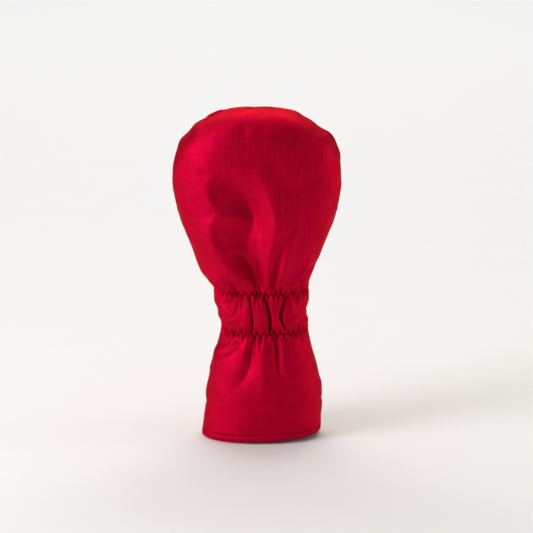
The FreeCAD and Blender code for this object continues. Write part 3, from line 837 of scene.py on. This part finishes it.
class Half:
    """One half of a skin: base points, outward normals, and how high the cloth stands off them."""

    def __init__(self, facing, depth, folds, low, tube_high=FOLD, top_power=None, reshape=None):
        self.facing, self.floor = facing, None
        levels = row_levels(low, tube_high)
        points, around = tube_rows(levels, SHARES, depth, facing)
        if reshape:
            points = reshape(points, levels)
        self.height = gather_height(turns_round(around, facing), points[..., 2])
        self.height += hem_height(around, points[..., 2])
        to_seam = np.abs(around[:, -1:]) - np.abs(around)
        grids = [points, normals_of(points, facing), np.stack([around, points[..., 2]], axis=2), to_seam]
        if top_power:
            rises = np.linspace(0, 1, CROWN_ROWS + 1)[1:]
            more = crown_rows(rises, SHARES, depth, facing, top_power)
            grids = [np.concatenate(pair) for pair in zip(grids, more)]
            self.height = np.vstack([self.height, np.zeros(more[3].shape)])
        self.points, self.normal, self.flat, self.to_seam = grids
        away, along = self.flat[..., 0] + (0 if facing < 0 else PALM_SHIFT), self.flat[..., 1]
        self.height += crumple(away, along, 9, 0.35) + crumple(away, along, 4.3, 0.12)
        self.height -= SEAM_DEEP * bell(self.to_seam, SEAM_WIDE, 1.5)
        if top_power:
            self.height += self.rim_height()
            folds = folds + RIM_FOLDS
        for each in folds + SIDE_FOLDS:
            self.height += fold_height(self.points[..., 0], self.points[..., 2], *each)
        if facing < 0:
            self.clear_hinge()

    def clear_hinge(self):
        """Holds the cloth near the fold back, so the hood can lie against the hand."""
        away = np.abs(self.points[..., 2] - FOLD)
        forward = -self.at(self.height)[..., 1] - FOLD_DEEP
        room = HINGE_SLOPE * (np.hypot(away, HINGE_ROUND) - HINGE_ROUND) - HINGE_GAP
        excess = HINGE_SOFT * np.log1p(np.exp((forward - room) / HINGE_SOFT))
        self.height -= excess * ramp(away, 20, 12) / np.maximum(-self.normal[..., 1], 0.3)

    def rim_height(self):
        """Small stitch bumps along the rim, and the places where its seam gapes."""
        to_seam, across, over_fold = self.to_seam, self.points[..., 0], self.points[..., 2] - FOLD
        bumps = crumple(across, 0 * across, 5, 0.6) + crumple(across, 0 * across, 2.1, 0.55)
        bumps = bumps * bell(to_seam, 2.2) * ramp(over_fold, 20, 30)
        gape = sum(bell(across - place, length, 4) for place, length in GAPES) * ramp(over_fold, 8, 14)
        if self.facing < 0:
            return bumps - 0.5 * gape * bell(to_seam, 1.2)
        return bumps + gape * (1.1 * bell(to_seam - 1.3, 1) - 0.8 * bell(to_seam, 0.6))

    def at(self, height):
        return self.points + self.normal * height[..., None]

    def under(self, depth):
        """Heights of a layer at least this deep under the outside nearby, and under the base."""
        if self.floor is None:
            self.floor = np.minimum(self.height, 0)
            for floor in (self.floor, self.floor.T):
                for shift in (1, 2, 3):
                    floor[shift:] = np.minimum(floor[shift:], floor[:-shift].copy())
                    floor[:-shift] = np.minimum(floor[:-shift], floor[shift:].copy())
        return self.floor - depth

    def rows(self, low, high, stride=1):
        """The rows whose middle lies between two levels, or some of them."""
        level = self.points[:, COLUMNS // 2, 2]
        found = np.flatnonzero((level > low - 0.01) & (level < high + 0.01))
        return np.unique(np.append(found[::stride], found[-1]))

    def inward(self, start, end):
        """0 up to a distance from the edges that show when the hood is back, and 1 beyond another."""
        away = np.abs(self.points[..., 2] - FOLD) if self.facing < 0 else self.to_seam
        return eased(ramp(away, start, end))

    def layer(self, name, rows, outer, inner, *rest, stride=1, first=0):
        """A slab between two height fields over some rows, short of the sides by some columns."""
        pick = np.ix_(rows, np.arange(first, COLUMNS - first, stride))
        return slab(name, self.at(outer)[pick], self.at(inner)[pick], self.flat[pick], self.facing, *rest)

    def line(self, level):
        """The outside's points, normals and lengths round along the row nearest a level."""
        row = np.abs(self.points[:, COLUMNS // 2, 2] - level).argmin()
        return self.at(self.height)[row], self.normal[row], self.flat[row, :, 0]

    def along(self, level, places):
        """Points and normals at lengths round along that row."""
        *grids, around = self.line(level)
        return [np.stack([np.interp(places, around, part) for part in grid.T], axis=-1) for grid in grids]


def palm_step(points, levels):
    """Moves the palm panel in where the hood overlaps it, leaving a flat lip out to the side seams."""
    out = np.abs(SHARES)
    inner = out <= 1 - LIP
    amount = eased(ramp(levels, STEP_START, STEP_END))
    moved = points.copy()
    for row in np.flatnonzero(amount):
        level = levels[row]
        wide, deep = half_width(level) - STEP, back_depth(level) - STEP
        across, back, _ = quarter_section(wide, deep, squareness(level), np.minimum(out / (1 - LIP), 1))
        across = np.where(inner, across, wide + STEP * (out - (1 - LIP)) / LIP)
        back = np.where(inner, back, 0)
        stepped = np.stack([lean(level) + np.sign(SHARES) * across, back, np.full(COLUMNS, level)], axis=1)
        moved[row] += (stepped - points[row]) * amount[row]
    return moved


# The cloth simulation works on a coarser grid, ten times life size. Its cloth is cut 1.6% large and puffed
# up by a light pressure; what it moves is capped and faded out towards the hood's fold.
SIM_STRIDE = 3
SIM_SCALE = 10
SIM_FRAMES = 20
SIM_HELD = 3.0
SIM_CAP = 0.45
SIM_FADE = 6
SIM_BLURS = 2
SIM_CLOTH = dict(vertex_group_mass="held", quality=6, mass=0.3, tension_stiffness=12,
                 compression_stiffness=12, bending_stiffness=3, shrink_min=-0.016, use_pressure=True,
                 uniform_pressure_force=1.3)


def settled(half):
    """How far the cloth of a half moves out when it settles, held along its seams, elastics and edges."""
    rows = np.unique(np.append(np.arange(0, len(half.points), SIM_STRIDE), len(half.points) - 1))
    cols = np.arange(0, COLUMNS, SIM_STRIDE)
    pick = np.ix_(rows, cols)
    before, level = half.at(half.height)[pick], half.points[..., 2][pick]
    faces = grid_faces(*level.shape, half.facing > 0)
    cloth = add_mesh("settling_cloth", before.reshape(-1, 3) * SIM_SCALE, faces)
    held = np.minimum(np.abs(level - UPPER_ROW), np.abs(level - LOWER_ROW)) < SIM_HELD
    held[[0, -1]] = held[:, [0, -1]] = True
    cloth.vertex_groups.new(name="held").add(np.flatnonzero(held).tolist(), 1.0, "REPLACE")
    made = cloth.modifiers.new("settle", "CLOTH")
    for key, value in SIM_CLOTH.items():
        setattr(made.settings, key, value)
    made.settings.effector_weights.gravity = 0
    made.collision_settings.use_collision = False
    made.point_cache.frame_start, made.point_cache.frame_end = 1, SIM_FRAMES
    for frame in range(1, SIM_FRAMES + 1):
        bpy.context.scene.frame_set(frame)
    result = cloth.evaluated_get(bpy.context.evaluated_depsgraph_get()).to_mesh()
    after = np.zeros(before.size)
    result.vertices.foreach_get("co", after)
    bpy.context.scene.frame_set(1)
    bpy.data.meshes.remove(cloth.data)
    move = ((after.reshape(before.shape) / MM / SIM_SCALE - before) * half.normal[pick]).sum(2)
    move = SIM_CAP * np.tanh(move / SIM_CAP)
    for _ in range(SIM_BLURS):
        beside = move[:-2, 1:-1] + move[2:, 1:-1] + move[1:-1, :-2] + move[1:-1, 2:]
        move[1:-1, 1:-1] = (beside + 4 * move[1:-1, 1:-1]) / 8
    wide = np.array([np.interp(np.arange(COLUMNS), cols, line) for line in move])
    move = np.array([np.interp(np.arange(len(half.points)), rows, line) for line in wide.T]).T
    return move * (1 - bell(half.points[..., 2] - FOLD, SIM_FADE))


front = Half(-1, front_depth, FRONT_FOLDS, HEM_START, top_power=FRONT_TOP_POWER)
palm = Half(1, back_depth, PALM_FOLDS, HEM_START, tube_high=OPENING_EDGE, reshape=palm_step)
hood_palm = Half(1, back_depth, HOOD_PALM_FOLDS, HOOD_EDGE + BINDING_WIDE, top_power=PALM_TOP_POWER)
for skin in (front, palm, hood_palm):
    skin.height += settled(skin)
front.clear_hinge()

CLOTH_THICK = 0.45
for name, skin, low, high, body, parts in (
        ("dorsal_cloth", front, 0, FOLD, "mitt", ("gauntlet", "wrist", "hand")),
        ("palm_cloth", palm, 0, FOLD, "mitt", ("gauntlet", "wrist", "hand")),
        ("hood_dorsal_cloth", front, FOLD, CROWN, "hood", ()),
        ("hood_palm_cloth", hood_palm, HOOD_EDGE, CROWN, "hood", ())):
    side = name.removesuffix("_cloth")
    skin.layer(name, skin.rows(low, high), skin.height, skin.height - CLOTH_THICK, shell_cloth, body,
               "ripstop_shell", [f"{side}_{part}_shell" for part in parts] or [f"{side}_shell"])

# ---------------- padding, linings and elastics inside
STRIDE = 2
LINING_START = UPPER_ROW + 4
# Depths under the outside at which each layer starts and ends.
PADDING = (0.7, 2.3)
FLEECE = (2.5, 4.2)
CUFF_LINING = (1.9, 2.2)
ELASTIC = (0.7, 1.6)
FLEECE_AT_EDGE = 0.5
ROW_HALF = (node_box("upper_wrist_elastic")[1][2] - node_box("upper_wrist_elastic")[0][2]) / 2
PADDING_INSET = 2.2
# Columns left out at the side seams.
PADDING_FIRST = 6
FLEECE_FIRST = 4


def padding(name, half, low, high, body, replaced):
    """The batting, which ends short of every edge so the lining can turn over it."""
    rows = half.rows(low, high, STRIDE)
    rows = rows[half.to_seam[rows, COLUMNS // 2] > PADDING_INSET]
    made = half.layer(name, rows, *map(half.under, PADDING), batting, body, "insulation", (replaced,),
                      stride=STRIDE, first=PADDING_FIRST)


def fleece_layer(name, half, low, high, body, replaced):
    """The fleece lining, which comes up to the outer cloth along every edge."""
    inward = half.inward(FLEECE_AT_EDGE, PADDING_INSET)
    outer = half.under(FLEECE_AT_EDGE + (FLEECE[0] - FLEECE_AT_EDGE) * inward)
    half.layer(name, half.rows(low, high, STRIDE), outer, half.under(FLEECE[1]), fleece, body,
               "fleece_lining", (replaced,), stride=STRIDE, first=0 if half is hood_palm else FLEECE_FIRST)


def inner_layer(name, half, low, high, depths, *rest):
    half.layer(name, half.rows(low, high, STRIDE), *map(half.under, depths), *rest, stride=STRIDE)


for side, skin, top, inset in (("dorsal", front, FOLD, PADDING_INSET), ("palm", palm, OPENING_EDGE, 0)):
    padding(f"{side}_padding", skin, LINING_START, top - inset, "mitt", f"{side}_hand_insulation")
    fleece_layer(f"{side}_fleece", skin, LINING_START, top, "mitt", f"{side}_hand_lining")
    inner_layer(f"{side}_cuff_lining", skin, STITCH_LEVEL, LINING_START, CUFF_LINING, taffeta, "mitt",
                "cuff_lining", (f"{side}_gauntlet_lining", f"{side}_wrist_lining"))
    for row, level in (("upper", UPPER_ROW), ("lower", LOWER_ROW)):
        inner_layer(f"{row}_elastic_{side}", skin, level - ROW_HALF, level + ROW_HALF, ELASTIC,
                    elastic_braid, "mitt", "elastic", (f"{row}_wrist_elastic",))
for side, skin, low, inset in (("dorsal", front, FOLD, PADDING_INSET), ("palm", hood_palm, HOOD_EDGE, 0)):
    padding(f"hood_{side}_padding", skin, low + inset, CROWN, "hood", f"hood_{side}_insulation")
    fleece_layer(f"hood_{side}_fleece", skin, low, CROWN, "hood", f"hood_{side}_lining")

# The strip of fleece sewn over the fold on the inside, which bends as the hood goes back.
BRIDGE_LONG = 5.0
BRIDGE_WIDE = 41.0
BRIDGE_THICK = 0.8
BRIDGE_DEEP = 6.0
HOOD_KEEP = 0.62


def fold_bridge():
    """Hidden between the layers at rest; shorter and deeper towards its two ends."""
    share_across = np.linspace(-1, 1, 67)
    steps, across = np.meshgrid(np.linspace(-1, 1, 27), share_across * BRIDGE_WIDE, indexing="ij")
    along = BRIDGE_LONG * (1 - 0.6 * (across / BRIDGE_WIDE) ** 2) * np.sign(steps) * steps ** 2
    base = front.line(FOLD)[0] - front.height[front.rows(FOLD, FOLD)[0], :, None] * front.line(FOLD)[1]
    cloth = np.interp(across + lean(FOLD), base[:, 0], base[:, 1]) + FOLD_DEEP
    at_mitt = np.maximum(BRIDGE_DEEP, cloth + 1.6)
    at_hood = np.maximum(BRIDGE_DEEP * HOOD_KEEP, cloth + 0.9)
    share = np.clip(steps, 0, 1) ** 2
    deep = at_mitt * (1 - share) + at_hood * share
    outer = np.stack([across + lean(FOLD), deep - FOLD_DEEP, FOLD + along], axis=2)
    inner = outer + (0, BRIDGE_THICK, 0)
    made = slab("fold_bridge_fleece", outer, inner, outer[..., [0, 2]], -1, fleece, None, "fleece_lining")
    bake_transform(made, "mitt", "hood", start=(0, -FOLD_DEEP * MM, (FOLD - 1.3) * MM),
             end=(0, -FOLD_DEEP * MM, (FOLD + 1.3) * MM))


fold_bridge()

# ---------------- hem, bindings, seams and label
# Sections as places out and up: the overlocked seam allowance, the hem, the flat elastic, and the knitted
# binding that closes the edge of all three layers.
ALLOWANCE = ((0, -2.2), (0.28, 0), (0, 2.2), (-0.35, 2.2), (-0.5, 0), (-0.35, -2.2))
HEM = ((-0.3, 0.9), (-0.7, 0.2), (-1.4, 0), (-2.1, 0.3), (-2.4, 1.2), (-2.4, 3.6), (-2, 4.6), (-0.9, 4.6),
       (-0.5, 3.4), (-0.4, 2))
BAND = ((-1, -0.9), (-3, -0.9), (-3, 0.1), (-1, 0.1))
BINDING = ((0.2, -2.6), (0.75, -1.6), (0.7, -0.2), (0.1, 0.7), (-1.2, 1.2), (-2.8, 1.2), (-4.1, 0.7),
           (-4.9, -0.2), (-5, -1.6), (-4.5, -2.6), (-2.2, -2.2))
HOOD_BINDING = [(out, -up) for out, up in BINDING]
HOOD_BINDING_LEVEL = HOOD_EDGE + BINDING_WIDE
BINDING_RIPPLE = 0.03
ALLOWANCE_DEEP = 1.6
ALLOWANCE_RIPPLE, ALLOWANCE_PITCH = 0.05, 3.1
TOPSTITCH_RADIUS, BARTACK_RADIUS = 0.13, 0.19


def edging(name, half, level, section, ripple, *rest):
    """A band with one section along an edge, swelling and shrinking a little along its length."""
    line, out, around = half.line(level)
    if level == 0:
        line = half.points[0]
    line, out = line * (1, 1, 0) + (0, 0, level), unit(out * (1, 1, 0))
    scale = 1 + ripple * np.sin(around * 2 * math.pi / STITCH_PITCH)
    if half is palm and level > HEM_START:
        line, out, scale = (values[PANEL_FIRST:-PANEL_FIRST] for values in (line, out, scale))
    up = np.tile((0.0, 0.0, 1.0), (len(line), 1))
    closed_piece(name, *swept(line, out, up, section, scale), *rest)


edging("dorsal_hem", front, 0, HEM, 0, shell_cloth, "mitt", "ripstop_shell", ("dorsal_gauntlet_hem",))
edging("palm_hem", palm, 0, HEM, 0, shell_cloth, "mitt", "ripstop_shell", ("palm_gauntlet_hem",))
edging("opening_binding", palm, OPENING_EDGE, BINDING, BINDING_RIPPLE, binding_knit, "mitt", "binding",
       ("palm_opening_binding",))
edging("hood_binding", hood_palm, HOOD_BINDING_LEVEL, HOOD_BINDING, BINDING_RIPPLE, binding_knit, "hood",
       "binding", ("hood_edge_binding",))
edging("hood_elastic", hood_palm, HOOD_BINDING_LEVEL, BAND, 0, elastic_braid, "hood", "elastic",
       ("hood_edge_elastic",))


def topstitching(half):
    """Paths of the hem's stitches round one half."""
    ends = half.line(STITCH_LEVEL)[2][[0, -1]]
    arch = 0.1 * np.sin(np.linspace(0, math.pi, 6)) - 0.22
    for start in np.arange(ends[0] + 0.4, ends[1] - STITCH_PITCH, STITCH_PITCH):
        path, normal = half.along(STITCH_LEVEL, start + np.linspace(0.3, STITCH_PITCH - 0.3, 6))
        yield path + normal * arch[:, None], normal


strands("hem_topstitch_thread", [*topstitching(front), *topstitching(palm)], TOPSTITCH_RADIUS, thread,
        "mitt", "thread", ("hem_topstitch",))


def allowance(name, places, normals, *rest):
    """The overlocked edges of two panels pressed flat behind their seam: a ribbon with a wavy edge."""
    up = unit(np.cross(np.gradient(places, axis=0), normals))
    scale = 1 + ALLOWANCE_RIPPLE * np.sin(lengths(places) * 2 * math.pi / ALLOWANCE_PITCH)
    solid = swept(places - normals * ALLOWANCE_DEEP, normals, up, ALLOWANCE, scale)
    closed_piece(name, *solid, taffeta, *rest)


seam_line = front.at(front.under(0))
seam_rows = front.rows(node_box("left_side_seam")[0][2], node_box("left_side_seam")[1][2])
for side, column in (("left", 0), ("right", -1)):
    allowance(f"{side}_seam_allowance", seam_line[seam_rows, column], front.normal[seam_rows, column],
              "mitt", "seam_allowance", (f"{side}_side_seam",))
crown_start = np.flatnonzero(front.points[:, 0, 2] > FOLD + 0.5)


def round_rim(grid):
    """The values of a grid along the rim, from the left end of the fold over the top to the right end."""
    return np.vstack([grid[crown_start, 0], grid[-1, 1:-1], grid[crown_start, -1][::-1]])


allowance("rim_seam_allowance", round_rim(seam_line), round_rim(front.normal), "hood", "seam_allowance",
          ("hood_rim_seam",))

TACK_LOW, TACK_HIGH = node_box("opening_bartacks")[0][2], node_box("opening_bartacks")[1][2]
TACK_STEPS = 29
# Where its stitches turn, measured from the side seam.
TACK_NEAR, TACK_FAR = 1.3, 3.4


def bartack(side):
    """A dense zigzag of thread across the end of the opening, beside a side seam."""
    levels = np.linspace(TACK_LOW, TACK_HIGH, TACK_STEPS)
    stitches = []
    for step, level in enumerate(levels):
        end = front.line(level)[2][-1]
        stitches.append(front.along(level, side * (end - (TACK_NEAR if step % 2 else TACK_FAR))))
    places, normals = np.array(stitches).transpose(1, 0, 2)
    places[:, 2] = levels
    return places + normals * 0.12, normals


LABEL_LOW, LABEL_HIGH = node_box("care_label")[0][2], node_box("care_label")[1][2]
LABEL_HALF = node_box("care_label")[1][1]
LABEL_THICK = 0.25


def hung_label():
    """A blank care label sewn by its top edge to the lining at the left, its free end standing off."""
    rows, cols = np.meshgrid(np.linspace(0, 1, 23), np.linspace(-1, 1, 13), indexing="ij")
    top = front.at(front.under(CUFF_LINING[1]))[front.rows(0, LABEL_HIGH)[-1], 0, 0]
    away = 0.5 + 2.4 * (1 - rows) ** 1.6 + 0.5 * cols ** 2 * (1 - rows)
    outer = np.stack([top + away, -cols * LABEL_HALF, LABEL_LOW + (LABEL_HIGH - LABEL_LOW) * rows], axis=2)
    flat = np.stack([cols * LABEL_HALF, outer[..., 2]], axis=2)
    return slab("blank_care_label", outer, outer + (LABEL_THICK, 0, 0), flat, -1, label_tape, "mitt",
                "label", ("care_label",))


hung_label()
strands("opening_bartack_thread", [bartack(-1), bartack(1)], BARTACK_RADIUS, thread, "mitt", "thread",
        ("opening_bartacks",))

# Each of the hood's pieces gets a mesh of its own.
for made in hood_pieces:
    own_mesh(made)

# ---------------- floor, light and camera
FLOOR_HALF = 2500
corners = np.array([(-1, -1, 0), (1, -1, 0), (1, 1, 0), (-1, 1, 0)]) * FLOOR_HALF
floor = add_mesh("floor", corners, [(0, 1, 2, 3)])
floor_paint = Look("floor_paint", 0.7)
floor_paint.colour(floor_paint.mix(floor_paint.noise(30), (0.88, 0.88, 0.88), (0.9, 0.9, 0.9)))
floor.data.materials.append(floor_paint.material)


def look_at(thing, place, target):
    thing.location = [value * MM for value in place]
    thing.rotation_mode = "QUATERNION"
    thing.rotation_quaternion = Vector(np.array(target, float) - place).to_track_quat("-Z", "Y")


def softbox(name, place, target, wide, high, colour, power):
    data = bpy.data.lights.new(name, "AREA")
    data.color = colour
    data.shape = "RECTANGLE"
    data.size, data.size_y = wide * MM, high * MM
    data.energy = power
    made = bpy.data.objects.new(name, data)
    bpy.context.scene.collection.objects.link(made)
    look_at(made, np.array(place, float), target)


softbox("left", (-850, -450, 400), (0, 0, 120), 450, 750, (0.86, 0.88, 1), 6.1)
softbox("key", (-500, -300, 800), (0, 0, 130), 300, 300, (1, 0.95, 0.85), 0.7)
softbox("top", (0, 100, 1000), (0, 100, 0), 900, 900, (1, 0.9, 0.75), 3.0)
softbox("right", (800, 0, 120), (0, 0, 90), 300, 600, (1, 0.97, 0.92), 1.8)
softbox("back", (0, 1500, 1500), (0, 1300, 0), 2400, 1200, (1, 1, 1), 25)
world = bpy.data.worlds.new("studio")
world.use_nodes = True
world.node_tree.nodes["Background"].inputs["Color"].default_value = (1, 1, 1, 1)
world.node_tree.nodes["Background"].inputs["Strength"].default_value = 0.25
bpy.context.scene.world = world
# The default transform pales the saturated reds.
bpy.context.scene.view_settings.view_transform = "Standard"

VIEW_RISE = math.radians(14.3)
VIEW_AWAY = 1800
AIM = np.array([3.1, 0, 97.6])
FRAME_WIDE = 299.5
SENSOR_WIDE = 36
camera_data = bpy.data.cameras.new("camera")
camera_data.sensor_width = SENSOR_WIDE
camera_data.lens = SENSOR_WIDE * VIEW_AWAY / FRAME_WIDE
camera = bpy.data.objects.new("camera", camera_data)
bpy.context.scene.collection.objects.link(camera)
look_at(camera, AIM + VIEW_AWAY * np.array([0, -math.cos(VIEW_RISE), math.sin(VIEW_RISE)]), AIM)
camera_data.clip_end = 10
bpy.context.scene.camera = camera
